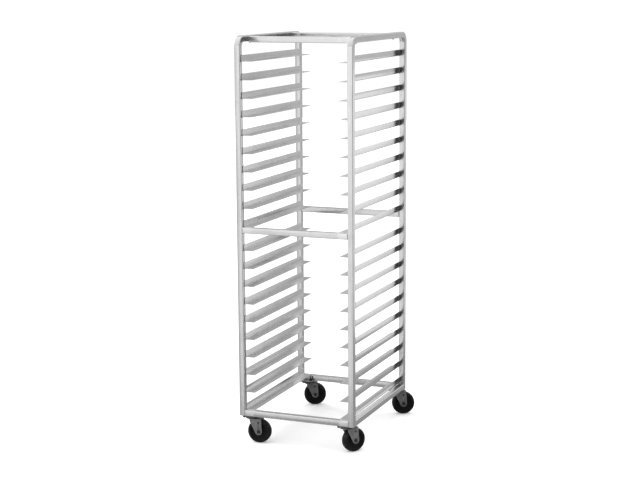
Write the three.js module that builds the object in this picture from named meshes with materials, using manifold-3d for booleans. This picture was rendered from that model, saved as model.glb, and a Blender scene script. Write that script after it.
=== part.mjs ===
// Full-height sheet pan rack on four swivel casters.
// Millimetres, +Z up, +X to the right seen from the front, +Y towards the back.
// The origin is on the floor, under the middle of the whole rack's box, casters included.
import * as THREE from 'three';
import { mergeVertices } from 'three/addons/utils/BufferGeometryUtils.js';
import Module from 'manifold-3d';

const wasm = await Module();
wasm.setup();

// ---- Driving dimensions -------------------------------------------------
const INCH = 25.4;
const RACK_WIDTH = 20.5 * INCH;
const RACK_DEPTH = 26 * INCH;
const TUBE = 1 * INCH;                // square tube, outside
const TUBE_WALL = 1.6;
const TUBE_CORNER = 2.4;              // outside corner radius of the tube
const BEND_RADIUS = 46;               // outside radius of the two top bends of a side frame
const FIT_GAP = 0.3;                  // air left between pieces that are welded together

const SLIDE_COUNT = 20;               // per side
const SLIDE_PITCH = 3 * INCH;
const MIDDLE_PITCH = 4 * INCH;        // between slides 10 and 11, over the middle bars
const SLIDES_ABOVE_MIDDLE = 10;
const SLIDE_LEG = 27;                 // upright leg of the angle
const SLIDE_FLANGE = 42;              // shelf leg of the angle
const SLIDE_THICKNESS = 2;
const SLIDE_SETBACK = 12;             // from the front and back faces of the rack

const FRAME_TOP_ABOVE_SLIDE_1 = 105;  // top of the side frames over the first shelf
const TOP_BAR_DROP = 4;               // top bars sit this far below the frame tops
const TOP_BAR_SETBACK = 92;           // behind the front face, on the straight of the top rail

const CASTER_HEIGHT = 116;            // floor to the underside of the base
const CASTER_INSET_X = 1.75 * INCH;   // swivel axis from the side of the rack
const CASTER_INSET_Y = 0.875 * INCH;  // swivel axis from the front or back of the rack
const CASTER_LEAD = 1.5 * INCH;       // axle behind the swivel axis
const WHEEL_RADIUS = 2 * INCH;
const WHEEL_WIDTH = 31;
const WHEEL_SIDES = 32;
const AXLE_RADIUS = 4.75;
const AXLE_CLEARANCE = 0.35;
const HUB_RADIUS = 15;
const HUB_WIDTH = 35;
const PLATE_X = 2.5 * INCH;
const PLATE_Y = 1.75 * INCH;
const PLATE_THICKNESS = 3;
const RACE_RADIUS = 22.9;
const FORK_STEEL = 2.6;
const FORK_INSIDE = 36.4;
const CROWN_CLEARANCE = 2.8;          // wheel tread to the underside of the fork crown
const CHEEK_TOP_FRONT = -1;           // along the trail, from the swivel axis
const CHEEK_TOP_BACK = 50;
const CHEEK_SHOULDER = 10;            // depth of the straight side of a cheek under the crown
const CHEEK_END_RADIUS = 15;
const AXLE_HEAD_RADIUS = 7.5;
const AXLE_HEAD_HEIGHT = 4;
const GUSSET_X = 56;                  // corner plates of the base, over the casters
const GUSSET_Y = 24;
const GUSSET_THICKNESS = 3.2;

// Angle of each caster's axle, in degrees from straight ahead towards the right-hand side.
const CASTER_ANGLES = { front_left: 6, front_right: 54, back_left: 25, back_right: 27 };

// ---- Derived heights ----------------------------------------------------
const BASE_TOP = CASTER_HEIGHT + TUBE;
const LOWEST_SHELF = BASE_TOP + FIT_GAP;
const HALF_WIDTH = RACK_WIDTH / 2;
const HALF_DEPTH = RACK_DEPTH / 2;
const INNER_X = HALF_WIDTH - TUBE;

// Underside of the shelf leg of slide number 1 (top) to 20 (bottom).
function shelfHeight(number) {
  const steps = SLIDE_COUNT - number;
  const overMiddle = number <= SLIDES_ABOVE_MIDDLE ? MIDDLE_PITCH - SLIDE_PITCH : 0;
  return LOWEST_SHELF + steps * SLIDE_PITCH + overMiddle;
}
const FRAME_TOP = shelfHeight(1) + FRAME_TOP_ABOVE_SLIDE_1;

// ---- Materials ----------------------------------------------------------
const COLOURS = {
  aluminium: { color: 0xc9cbce, roughness: 0.42, metalness: 0.9 },
  steel: { color: 0x6d6e71, roughness: 0.5, metalness: 0.8 },
  tread: { color: 0x17181a, roughness: 0.7, metalness: 0.0 },
};
function material(slot) {
  return new THREE.MeshStandardMaterial(COLOURS[slot]);
}

// ---- Solid helpers ------------------------------------------------------
function toSolid(geometry) {
  const plain = geometry.clone();
  plain.deleteAttribute('normal');
  plain.deleteAttribute('uv');
  const merged = mergeVertices(plain, 1e-4);
  const mesh = new wasm.Mesh({
    numProp: 3,
    vertProperties: new Float32Array(merged.attributes.position.array),
    triVerts: new Uint32Array(merged.index.array),
  });
  return new wasm.Manifold(mesh);
}

function toGeometry(solid) {
  const mesh = solid.getMesh();
  const geometry = new THREE.BufferGeometry();
  geometry.setAttribute('position', new THREE.BufferAttribute(mesh.vertProperties, 3));
  geometry.setIndex(new THREE.BufferAttribute(mesh.triVerts, 1));
  return geometry;
}

function joined(geometries) {
  return geometries.map(toSolid).reduce((whole, piece) => whole.add(piece));
}

function boxBetween(low, high) {
  const size = high.map((value, i) => value - low[i]);
  const geometry = new THREE.BoxGeometry(...size);
  return geometry.translate(...low.map((value, i) => value + size[i] / 2));
}

function roundedRectangle(width, height, radius, Kind) {
  const outline = new Kind();
  const x = width / 2;
  const y = height / 2;
  outline.moveTo(-x + radius, -y);
  outline.lineTo(x - radius, -y);
  outline.absarc(x - radius, -y + radius, radius, -Math.PI / 2, 0, false);
  outline.absarc(x - radius, y - radius, radius, 0, Math.PI / 2, false);
  outline.absarc(-x + radius, y - radius, radius, Math.PI / 2, Math.PI, false);
  outline.absarc(-x + radius, -y + radius, radius, Math.PI, Math.PI * 1.5, false);
  return outline;
}

// Turns a geometry extruded along +Z so that it runs along +X, with its own Y to +Z.
function alongX(geometry) {
  const turn = new THREE.Matrix4().makeBasis(
    new THREE.Vector3(0, 1, 0),
    new THREE.Vector3(0, 0, 1),
    new THREE.Vector3(1, 0, 0),
  );
  return geometry.applyMatrix4(turn);
}

// ---- Side frame: bent tube, open at the feet, with the base rail welded in ----
// Outline in the Y-Z plane of the bent tube, drawn at a distance inside its outer faces.
function archOutline(inset, feet) {
  const y = HALF_DEPTH - inset;
  const top = FRAME_TOP - inset;
  const outer = BEND_RADIUS - inset;
  const thickness = TUBE - 2 * inset;
  const inner = outer - thickness;
  const shape = new THREE.Shape();
  shape.moveTo(-y, feet);
  shape.lineTo(-y + thickness, feet);
  shape.lineTo(-y + thickness, top - outer);
  shape.absarc(-y + outer, top - outer, inner, Math.PI, Math.PI / 2, true);
  shape.lineTo(y - outer, top - thickness);
  shape.absarc(y - outer, top - outer, inner, Math.PI / 2, 0, true);
  shape.lineTo(y - thickness, feet);
  shape.lineTo(y, feet);
  shape.lineTo(y, top - outer);
  shape.absarc(y - outer, top - outer, outer, 0, Math.PI / 2, false);
  shape.lineTo(-y + outer, top);
  shape.absarc(-y + outer, top - outer, outer, Math.PI / 2, Math.PI, false);
  return shape;
}

function sideFrame() {
  const bevel = TUBE_CORNER / 2;
  const outside = new THREE.ExtrudeGeometry(archOutline(0, CASTER_HEIGHT), {
    depth: TUBE - 2 * bevel,
    curveSegments: 8,
    bevelEnabled: true,
    bevelThickness: bevel,
    bevelSize: bevel,
    bevelOffset: -bevel,
    bevelSegments: 1,
  }).translate(0, 0, bevel);
  const hollow = new THREE.ExtrudeGeometry(archOutline(TUBE_WALL, CASTER_HEIGHT - TUBE), {
    depth: TUBE - 2 * TUBE_WALL,
    curveSegments: 8,
    bevelEnabled: false,
  }).translate(0, 0, TUBE_WALL);
  const railEnd = HALF_DEPTH - TUBE / 2;
  const rail = boxBetween([0, -railEnd, CASTER_HEIGHT], [TUBE, railEnd, BASE_TOP]);
  const railHollow = boxBetween(
    [TUBE_WALL, -railEnd, CASTER_HEIGHT + TUBE_WALL],
    [TUBE - TUBE_WALL, railEnd, BASE_TOP - TUBE_WALL],
  );
  const solid = toSolid(alongX(outside)).add(toSolid(rail));
  return toGeometry(solid.subtract(toSolid(alongX(hollow))).subtract(toSolid(railHollow)));
}

// ---- Cross bars: straight square tube between the side frames ----
function crossBarLength() {
  return 2 * (INNER_X - FIT_GAP);
}

function crossBar() {
  const section = roundedRectangle(TUBE, TUBE, TUBE_CORNER, THREE.Shape);
  const inside = TUBE - 2 * TUBE_WALL;
  section.holes.push(roundedRectangle(inside, inside, TUBE_CORNER - TUBE_WALL, THREE.Path));
  const length = crossBarLength();
  const bar = new THREE.ExtrudeGeometry(section, {
    depth: length,
    curveSegments: 3,
    bevelEnabled: false,
  });
  return alongX(bar.translate(0, 0, -length / 2));
}

// Bottom bar with its two caster gussets, which are flush with its underside.
function bottomBar() {
  const end = crossBarLength() / 2;
  const under = -TUBE / 2;
  const edge = TUBE / 2 - TUBE_WALL / 2;
  let solid = toSolid(crossBar());
  for (const side of [-1, 1]) {
    const xs = [side * end, side * (end - GUSSET_X)].sort((a, b) => a - b);
    const gusset = boxBetween(
      [xs[0], edge, under],
      [xs[1], TUBE / 2 + GUSSET_Y, under + GUSSET_THICKNESS],
    );
    solid = solid.add(toSolid(gusset));
  }
  return toGeometry(solid);
}

// ---- Slide: angle with a rounded heel, its shelf leg towards +X ----
function slide() {
  const heel = 2.5;
  const fillet = 1.2;
  const section = new THREE.Shape();
  section.moveTo(heel, 0);
  section.lineTo(SLIDE_FLANGE, 0);
  section.lineTo(SLIDE_FLANGE, SLIDE_THICKNESS);
  section.lineTo(SLIDE_THICKNESS + fillet, SLIDE_THICKNESS);
  section.absarc(
    SLIDE_THICKNESS + fillet, SLIDE_THICKNESS + fillet, fillet, Math.PI * 1.5, Math.PI, true,
  );
  section.lineTo(SLIDE_THICKNESS, SLIDE_LEG);
  section.lineTo(0, SLIDE_LEG);
  section.lineTo(0, heel);
  section.absarc(heel, heel, heel, Math.PI, Math.PI * 1.5, false);
  const length = RACK_DEPTH - 2 * SLIDE_SETBACK;
  const angle = new THREE.ExtrudeGeometry(section, {
    depth: length,
    curveSegments: 3,
    bevelEnabled: false,
  });
  return angle.rotateX(Math.PI / 2).translate(0, length / 2, 0);
}

// ---- Caster: fixed plate, swivelling fork with its axle, wheel ----
// Each is drawn about the swivel axis, with the axle trailing towards +X and lying along Y.
const PLATE_TOP = CASTER_HEIGHT - FIT_GAP;
const PLATE_BOTTOM = PLATE_TOP - PLATE_THICKNESS;
const CROWN_BOTTOM = 2 * WHEEL_RADIUS + CROWN_CLEARANCE;
const CROWN_TOP = CROWN_BOTTOM + FORK_STEEL;

function disc(radius, low, high, sides) {
  const geometry = new THREE.CylinderGeometry(radius, radius, high - low, sides);
  return geometry.rotateX(Math.PI / 2).translate(0, 0, (low + high) / 2);
}

function casterPlate() {
  const outline = roundedRectangle(PLATE_X, PLATE_Y, 5, THREE.Shape);
  const plate = new THREE.ExtrudeGeometry(outline, {
    depth: PLATE_THICKNESS,
    curveSegments: 4,
    bevelEnabled: false,
  }).translate(0, 0, PLATE_BOTTOM);
  const race = disc(RACE_RADIUS, CROWN_TOP + FIT_GAP, PLATE_BOTTOM + 0.5, 32);
  return toGeometry(joined([plate, race]));
}

// Side view of one cheek, X along the trail and Y up.
function cheekOutline() {
  const lean = Math.PI * 0.12;
  const shape = new THREE.Shape();
  shape.moveTo(CHEEK_TOP_FRONT, CROWN_TOP);
  shape.lineTo(CHEEK_TOP_FRONT, CROWN_BOTTOM - CHEEK_SHOULDER);
  shape.absarc(CASTER_LEAD, WHEEL_RADIUS, CHEEK_END_RADIUS, Math.PI + lean, Math.PI * 2, false);
  shape.lineTo(CHEEK_TOP_BACK, CROWN_TOP);
  return shape;
}

function casterFork() {
  const outsideY = FORK_INSIDE / 2 + FORK_STEEL;
  const cheeks = [-outsideY, FORK_INSIDE / 2].map((y) => {
    const cheek = new THREE.ExtrudeGeometry(cheekOutline(), {
      depth: FORK_STEEL,
      curveSegments: 10,
      bevelEnabled: false,
    });
    return cheek.rotateX(Math.PI / 2).translate(0, y + FORK_STEEL, 0);
  });
  const crown = boxBetween(
    [CHEEK_TOP_FRONT, -outsideY + FORK_STEEL / 2, CROWN_BOTTOM],
    [CHEEK_TOP_BACK, outsideY - FORK_STEEL / 2, CROWN_TOP],
  );
  const nose = disc(RACE_RADIUS, CROWN_BOTTOM, CROWN_TOP, 32);
  const axleEnd = outsideY + AXLE_HEAD_HEIGHT;
  const axle = new THREE.CylinderGeometry(AXLE_RADIUS, AXLE_RADIUS, 2 * axleEnd - 0.1, 20);
  axle.translate(CASTER_LEAD, 0, WHEEL_RADIUS);
  const heads = [-1, 1].map((side) => {
    const head = new THREE.CylinderGeometry(
      AXLE_HEAD_RADIUS, AXLE_HEAD_RADIUS, AXLE_HEAD_HEIGHT + 0.5, 6,
    );
    const middle = side * (outsideY + AXLE_HEAD_HEIGHT / 2 - 0.25);
    return head.translate(CASTER_LEAD, middle, WHEEL_RADIUS);
  });
  return toGeometry(joined([crown, nose, ...cheeks, axle, ...heads]));
}

// The wheel turns about Y. Its tread is flat across, and one facet faces the floor.
function casterWheel() {
  const bore = AXLE_RADIUS + AXLE_CLEARANCE;
  const rim = WHEEL_RADIUS / Math.cos(Math.PI / WHEEL_SIDES);
  const half = WHEEL_WIDTH / 2;
  const hub = HUB_WIDTH / 2;
  const dish = half - 6;
  const profile = [
    [bore, -hub],
    [HUB_RADIUS, -hub],
    [HUB_RADIUS + 1.5, -dish],
    [rim - 14, -dish],
    [rim - 11, -half],
    [rim - 4, -half],
    [rim, -half + 5],
    [rim, half - 5],
    [rim - 4, half],
    [rim - 11, half],
    [rim - 14, dish],
    [HUB_RADIUS + 1.5, dish],
    [HUB_RADIUS, hub],
    [bore, hub],
    [bore, -hub],
  ].map(([r, y]) => new THREE.Vector2(r, y));
  return new THREE.LatheGeometry(profile, WHEEL_SIDES).rotateY(Math.PI / WHEEL_SIDES);
}

// ---- Assembly -----------------------------------------------------------
const rack = new THREE.Group();

function place(parent, name, geometry, slot, x, y, z) {
  const mesh = new THREE.Mesh(geometry, material(slot));
  mesh.name = name;
  mesh.position.set(x, y, z);
  parent.add(mesh);
  return mesh;
}

function addSideFrames() {
  const geometry = sideFrame();
  place(rack, 'side_frame_left', geometry, 'aluminium', -HALF_WIDTH, 0, 0);
  place(rack, 'side_frame_right', geometry, 'aluminium', INNER_X, 0, 0);
}

function addCrossBars() {
  const levels = {
    top: { geometry: crossBar(), top: FRAME_TOP - TOP_BAR_DROP, setback: TOP_BAR_SETBACK },
    middle: { geometry: crossBar(), top: shelfHeight(SLIDES_ABOVE_MIDDLE) - FIT_GAP, setback: 0 },
    bottom: { geometry: bottomBar(), top: BASE_TOP, setback: 0 },
  };
  for (const [level, bar] of Object.entries(levels)) {
    const y = HALF_DEPTH - bar.setback - TUBE / 2;
    const z = bar.top - TUBE / 2;
    place(rack, `${level}_bar_front`, bar.geometry, 'aluminium', 0, -y, z);
    const back = place(rack, `${level}_bar_back`, bar.geometry, 'aluminium', 0, y, z);
    back.rotation.z = Math.PI;
  }
}

function addSlides() {
  const geometry = slide();
  const x = INNER_X - FIT_GAP;
  for (let number = 1; number <= SLIDE_COUNT; number += 1) {
    const label = String(number).padStart(2, '0');
    const z = shelfHeight(number);
    place(rack, `slide_left_${label}`, geometry, 'aluminium', -x, 0, z);
    const right = place(rack, `slide_right_${label}`, geometry, 'aluminium', x, 0, z);
    right.rotation.z = Math.PI;
  }
}

function addCasters() {
  const plate = casterPlate();
  const fork = casterFork();
  const wheel = casterWheel();
  for (const [corner, angle] of Object.entries(CASTER_ANGLES)) {
    const [end, side] = corner.split('_');
    const station = new THREE.Group();
    const x = HALF_WIDTH - CASTER_INSET_X;
    const y = HALF_DEPTH - CASTER_INSET_Y;
    station.position.set(side === 'left' ? -x : x, end === 'front' ? -y : y, 0);
    place(station, `caster_plate_${corner}`, plate, 'steel', 0, 0, 0);
    const swivel = new THREE.Group();
    swivel.rotation.z = THREE.MathUtils.degToRad(angle);
    place(swivel, `caster_fork_${corner}`, fork, 'steel', 0, 0, 0);
    place(swivel, `caster_wheel_${corner}`, wheel, 'tread', CASTER_LEAD, 0, WHEEL_RADIUS);
    station.add(swivel);
    rack.add(station);
  }
}

addSideFrames();
addCrossBars();
addSlides();
addCasters();

// The casters stand at their own angles, so the middle of the box is a little off the frame's.
const overall = new THREE.Box3().setFromObject(rack, true);
const middle = overall.getCenter(new THREE.Vector3());
rack.position.set(-middle.x, -middle.y, 0);

export default rack;
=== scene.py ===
import math

import bmesh
import bpy
import numpy as np
from mathutils import Matrix, Vector

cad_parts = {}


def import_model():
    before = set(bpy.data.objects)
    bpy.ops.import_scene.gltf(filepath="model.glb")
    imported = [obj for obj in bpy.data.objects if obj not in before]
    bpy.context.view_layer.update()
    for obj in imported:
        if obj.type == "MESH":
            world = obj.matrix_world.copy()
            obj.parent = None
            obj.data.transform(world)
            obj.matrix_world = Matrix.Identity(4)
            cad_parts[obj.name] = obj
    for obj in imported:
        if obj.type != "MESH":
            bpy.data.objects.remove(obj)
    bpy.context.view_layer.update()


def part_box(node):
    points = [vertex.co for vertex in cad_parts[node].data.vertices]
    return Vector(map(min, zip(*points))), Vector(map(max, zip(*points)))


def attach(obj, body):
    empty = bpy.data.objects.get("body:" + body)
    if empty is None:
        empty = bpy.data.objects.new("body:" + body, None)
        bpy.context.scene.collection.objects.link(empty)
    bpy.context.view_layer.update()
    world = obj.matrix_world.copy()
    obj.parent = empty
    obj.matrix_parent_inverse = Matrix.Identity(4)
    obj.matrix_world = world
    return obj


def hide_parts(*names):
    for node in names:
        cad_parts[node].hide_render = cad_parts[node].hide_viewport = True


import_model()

# Lengths below are millimetres unless a name says metres.
METRES = 0.001
CORNERS = ("front_left", "front_right", "back_left", "back_right")
INWARD = {"left": 1, "right": -1, "front": 1, "back": -1}


def node_box(node):
    """Lowest and highest corner of a CAD node, in millimetres."""
    low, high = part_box(node)
    return np.array(low) / METRES, np.array(high) / METRES


# ---- Sizes read from the frame ------------------------------------------
LEFT_LOW, LEFT_HIGH = node_box("side_frame_left")
RIGHT_LOW, RIGHT_HIGH = node_box("side_frame_right")
TUBE = LEFT_HIGH[0] - LEFT_LOW[0]
FRONT, BACK = LEFT_LOW[1], LEFT_HIGH[1]
FRAME_TOP = LEFT_HIGH[2]
FOOT = LEFT_LOW[2]

# ---- Sizes that the frame's boxes don't hold ------------------------------
TUBE_WALL = 1.6
TUBE_CORNER = 2.6
BEND_OUTER_RADIUS = 46.0
BEND_CENTRE_RADIUS = BEND_OUTER_RADIUS - TUBE / 2
SLIDE_THICKNESS = 2.0
SLIDE_COUNT = 20


# ---- Mesh helpers --------------------------------------------------------
class Shell:
    """Collects closed surfaces, with the coordinates that the metal's grain follows."""

    def __init__(self, seed):
        self.points = []
        self.faces = []
        self.grain = []
        self.edge = []
        self.ground = None
        # Painted shade: darkens and roughens the metal in the same way as weld heat.
        self.painted_shade = 0.0
        self.count = 0
        self.seed = seed

    def add(self, points, faces, grain, edge):
        points = np.asarray(points, float).reshape(-1, 3)
        grain = np.asarray(grain, float).reshape(-1, 2)
        self.points.append(points)
        self.faces += [tuple(i + self.count for i in face) for face in faces]
        self.grain.append(grain)
        self.edge.append(np.asarray(edge, float).ravel())
        self.count += len(points)

    def place(self, matrix):
        turn = np.array(matrix.to_3x3())
        move = np.array(matrix.translation)
        self.points = [p @ turn.T + move for p in self.points]

    def build(self, name, material, body, slot, replaces=(), sharp=32.0, weld=0.0, heat=False):
        points = np.concatenate(self.points)
        mesh = bpy.data.meshes.new(name)
        mesh.from_pydata((points * METRES).tolist(), [], self.faces)
        grain = np.concatenate(self.grain) * METRES
        third = np.full((len(points), 1), self.seed * 0.377)
        store(mesh, "grain", "FLOAT_VECTOR", "vector", np.hstack([grain, third]))
        store(mesh, "edge", "FLOAT", "value", np.concatenate(self.edge))
        # The weld heat tint, plus any painted shade given to the shell.
        heat = (heat_at(points) if heat else np.zeros(len(points))) + self.painted_shade
        store(mesh, "heat", "FLOAT", "value", np.minimum(heat, 1.0))
        ground = self.ground(points) if self.ground else np.zeros(len(points))
        store(mesh, "ground", "FLOAT", "value", ground)
        work = bmesh.new()
        work.from_mesh(mesh)
        if weld:
            bmesh.ops.remove_doubles(work, verts=work.verts, dist=weld * METRES)
        bmesh.ops.recalc_face_normals(work, faces=work.faces)
        work.to_mesh(mesh)
        work.free()
        mesh.shade_smooth()
        mesh.set_sharp_from_angle(angle=math.radians(sharp))
        mesh.materials.append(material)
        piece = add_object(name, mesh)
        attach(piece, body)
        if replaces:
            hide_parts(*replaces)
        return piece


def add_object(name, data):
    made = bpy.data.objects.new(name, data)
    bpy.context.scene.collection.objects.link(made)
    return made


def store(mesh, name, kind, field, values):
    """Gives a mesh a named value or vector at each point, for its material to read."""
    layer = mesh.attributes.new(name, kind, "POINT")
    layer.data.foreach_set(field, np.asarray(values, np.float32).ravel())


def lengths_along(points):
    """Distance of each point from the first, measured along the line through them."""
    points = np.asarray(points, float)
    steps = np.linalg.norm(np.diff(points, axis=0), axis=1)
    return np.concatenate([[0.0], np.cumsum(steps)])


def skin(shell, rings, edge=None, along=None, loop=False, caps=True):
    """Joins closed rings of equal length into a surface. loop joins the last ring to the first."""
    rings = np.asarray(rings, float)
    count, size, _ = rings.shape
    if along is None:
        along = lengths_along(rings.mean(axis=1))
    around = lengths_along(rings[0])
    grain = np.stack(np.meshgrid(along, around, indexing="ij"), axis=-1)
    edges = np.zeros((count, size)) if edge is None else np.broadcast_to(edge, (count, size))
    faces = []
    for i in range(count if loop else count - 1):
        k = (i + 1) % count
        for j in range(size):
            n = (j + 1) % size
            faces.append((i * size + j, i * size + n, k * size + n, k * size + j))
    if caps and not loop:
        faces.append(tuple(range(size))[::-1])
        faces.append(tuple((count - 1) * size + j for j in range(size)))
    shell.add(rings, faces, grain, edges)


def rounded_loop(width, height, radius, steps):
    """Rounded rectangle round the origin, and how close each point is to a corner."""
    loop, edge = [], []
    for x, y, start in ((1, 1, 0), (-1, 1, 90), (-1, -1, 180), (1, -1, 270)):
        for k in range(steps + 1):
            angle = math.radians(start + 90 * k / steps)
            loop.append((
                x * (width / 2 - radius) + radius * math.cos(angle),
                y * (height / 2 - radius) + radius * math.sin(angle),
            ))
            edge.append(math.sin(math.pi * k / steps) ** 0.5 if 0 < k < steps else 0.0)
    return np.array(loop), np.array(edge)


TURNED_GRAIN_RADIUS = 25.0


def along_axis(axis, c, s, h):
    """A point at (c, s) across the y or z axis and h along it."""
    return (c, h, s) if axis == "y" else (c, s, h)


def lathe(shell, profile, steps, axis="z", centre=(0, 0, 0)):
    """Turns a closed profile of (radius, height) points about an axis through centre."""
    profile = np.asarray(profile, float)
    length = lengths_along(profile)
    points, grain = [], []
    for k in range(steps):
        angle = 2 * math.pi * k / steps
        c, s = math.cos(angle), math.sin(angle)
        for (r, h), d in zip(profile, length):
            points.append(along_axis(axis, r * c, r * s, h))
            grain.append((TURNED_GRAIN_RADIUS * angle, d))
    size = len(profile)
    faces = []
    for k in range(steps):
        n = (k + 1) % steps
        for j in range(size - 1):
            faces.append((k * size + j, k * size + j + 1, n * size + j + 1, n * size + j))
    shell.add(np.array(points) + np.array(centre, float), faces, grain, np.zeros(len(points)))


HEXAGON_STEPS = 36
HEXAGON_CHAMFER = math.radians(28)
HEXAGON_CENTRE = 0.01


def hexagon(
    shell, across_flats, low, high, axis="z", centre=(0, 0, 0), turn=0.0, chamfer_low=False,
):
    """Hexagon head or nut with its corners turned off, and its axis through centre."""
    steps = HEXAGON_STEPS
    apothem = across_flats / 2
    flat_radius = apothem * 0.94
    direction = 1 if high > low else -1
    rings = []
    angles = [2 * math.pi * k / steps for k in range(steps)]
    radii = [apothem / math.cos((a + math.pi / 6) % (math.pi / 3) - math.pi / 6) for a in angles]
    drops = [(r - flat_radius) * math.tan(HEXAGON_CHAMFER) for r in radii]
    flats = [flat_radius] * steps
    levels = [([HEXAGON_CENTRE] * steps, [low] * steps)]
    if chamfer_low:
        levels.append((flats, [low] * steps))
        levels.append((radii, [low + direction * d for d in drops]))
    else:
        levels.append((radii, [low] * steps))
    levels.append((radii, [high - direction * d for d in drops]))
    levels.append((flats, [high] * steps))
    levels.append(([HEXAGON_CENTRE] * steps, [high] * steps))
    for rs, hs in levels:
        ring = []
        for a, r, h in zip(angles, rs, hs):
            c, s = r * math.cos(a + turn), r * math.sin(a + turn)
            ring.append(along_axis(axis, c, s, h))
        rings.append(ring)
    skin(shell, np.array(rings) + np.array(centre, float))


# ---- Weld beads ----------------------------------------------------------
WELD_POINTS = []
HEAT_REACH = 11.0
FULL_BEAD, SMALL_BEAD = 1.9, 1.7
FLUSH_BEAD, UNDER_BEAD = 1.25, 1.2
WELD_MERGE, WELD_SHARP = 0.001, 60


def heat_at(points):
    """How strongly each point was heated by the nearest weld, from 0 to 1."""
    reach = HEAT_REACH
    nearest = np.full(len(points), 1e9)
    for weld in WELD_POINTS:
        low, high = weld.min(axis=0) - 3 * reach, weld.max(axis=0) + 3 * reach
        near = np.all((points > low) & (points < high), axis=1)
        if near.any():
            gap = np.linalg.norm(points[near][:, None, :] - weld[None], axis=2).min(axis=1)
            nearest[near] = np.minimum(nearest[near], gap)
    return np.exp(-((nearest / reach) ** 2))


def bead(shell, start, end, size, rng, lean=(0, 0, 0)):
    """A rippled weld bead from start to end. lean moves it towards the open side of the joint."""
    start, end = np.array(start, float) + lean, np.array(end, float) + lean
    WELD_POINTS.append(np.linspace(start, end, 4))
    line = end - start
    length = np.linalg.norm(line)
    forward = line / length
    side = np.cross(forward, (0.31, 0.57, 0.76))
    side /= np.linalg.norm(side)
    other = np.cross(forward, side)
    rings_count = max(8, int(length / 0.7))
    around = 10
    phase = rng.uniform(0, 1)
    pitch = rng.uniform(1.7, 2.2)
    rings = []
    for i in range(rings_count + 1):
        t = i / rings_count
        s = t * length
        taper = math.sqrt(max(0.02, 1 - (2 * t - 1) ** 8))
        swell = 1 + 0.1 * math.sin(s * 0.7 + 6 * phase)
        ring = []
        for j in range(around):
            angle = 2 * math.pi * j / around
            wave = (s + 0.9 * math.cos(angle)) / pitch + phase
            ripple = 0.88 + 0.12 * abs(math.sin(math.pi * wave))
            radius = size * taper * ripple * swell
            ring.append(
                start + forward * s + side * radius * math.cos(angle)
                + other * radius * math.sin(angle)
            )
        rings.append(ring)
    skin(shell, rings)


def build_beads(shell, name):
    shell.build(name, WELD, "rack", "aluminium", weld=WELD_MERGE, sharp=WELD_SHARP)


# ---- Materials -----------------------------------------------------------
class Tree:
    """A small helper round one material's node tree."""

    def __init__(self, name):
        self.material = bpy.data.materials.new(name)
        self.material.use_nodes = True
        self.nodes = self.material.node_tree.nodes
        self.links = self.material.node_tree.links
        self.shader = self.nodes["Principled BSDF"]

    def node(self, kind, inputs=None, **settings):
        made = self.nodes.new("ShaderNode" + kind)
        for key, value in settings.items():
            setattr(made, key, value)
        for key, value in (inputs or {}).items():
            self.into(made.inputs[key], value)
        return made

    def into(self, socket, value):
        if isinstance(value, bpy.types.NodeSocket):
            self.links.new(value, socket)
        else:
            socket.default_value = value

    def attribute(self, name, output):
        return self.node("Attribute", attribute_name=name).outputs[output]

    def stretched(self, vector, scale):
        made = self.node("VectorMath", {0: vector, 1: scale}, operation="MULTIPLY")
        return made.outputs["Vector"]

    def noise(self, vector, scale, detail=3.0, roughness=0.55):
        return self.node(
            "TexNoise",
            {"Vector": vector, "Scale": scale, "Detail": detail, "Roughness": roughness},
        ).outputs["Fac"]

    def ramp(self, value, low, high, to_low=0.0, to_high=1.0):
        inputs = {"From Min": low, "From Max": high, "To Min": to_low, "To Max": to_high}
        return self.node("MapRange", {"Value": value, **inputs}).outputs["Result"]

    def math(self, operation, a, b):
        return self.node("Math", {0: a, 1: b}, operation=operation).outputs["Value"]

    def mix(self, factor, a, b):
        made = self.node("Mix", data_type="RGBA")
        self.into(made.inputs[0], factor)
        self.into(made.inputs[6], a)
        self.into(made.inputs[7], b)
        return made.outputs[2]

    def bump(self, height, distance, strength=1.0, normal=None):
        inputs = {"Height": height, "Distance": distance, "Strength": strength}
        if normal is not None:
            inputs["Normal"] = normal
        return self.node("Bump", inputs).outputs["Normal"]

    def set(self, name, value):
        self.into(self.shader.inputs[name], value)


def grey(value, warm=0.0):
    """A grey colour, with its red raised and its blue lowered by the share warm."""
    return (value * (1 + warm), value, value * (1 - warm), 1.0)


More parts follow.
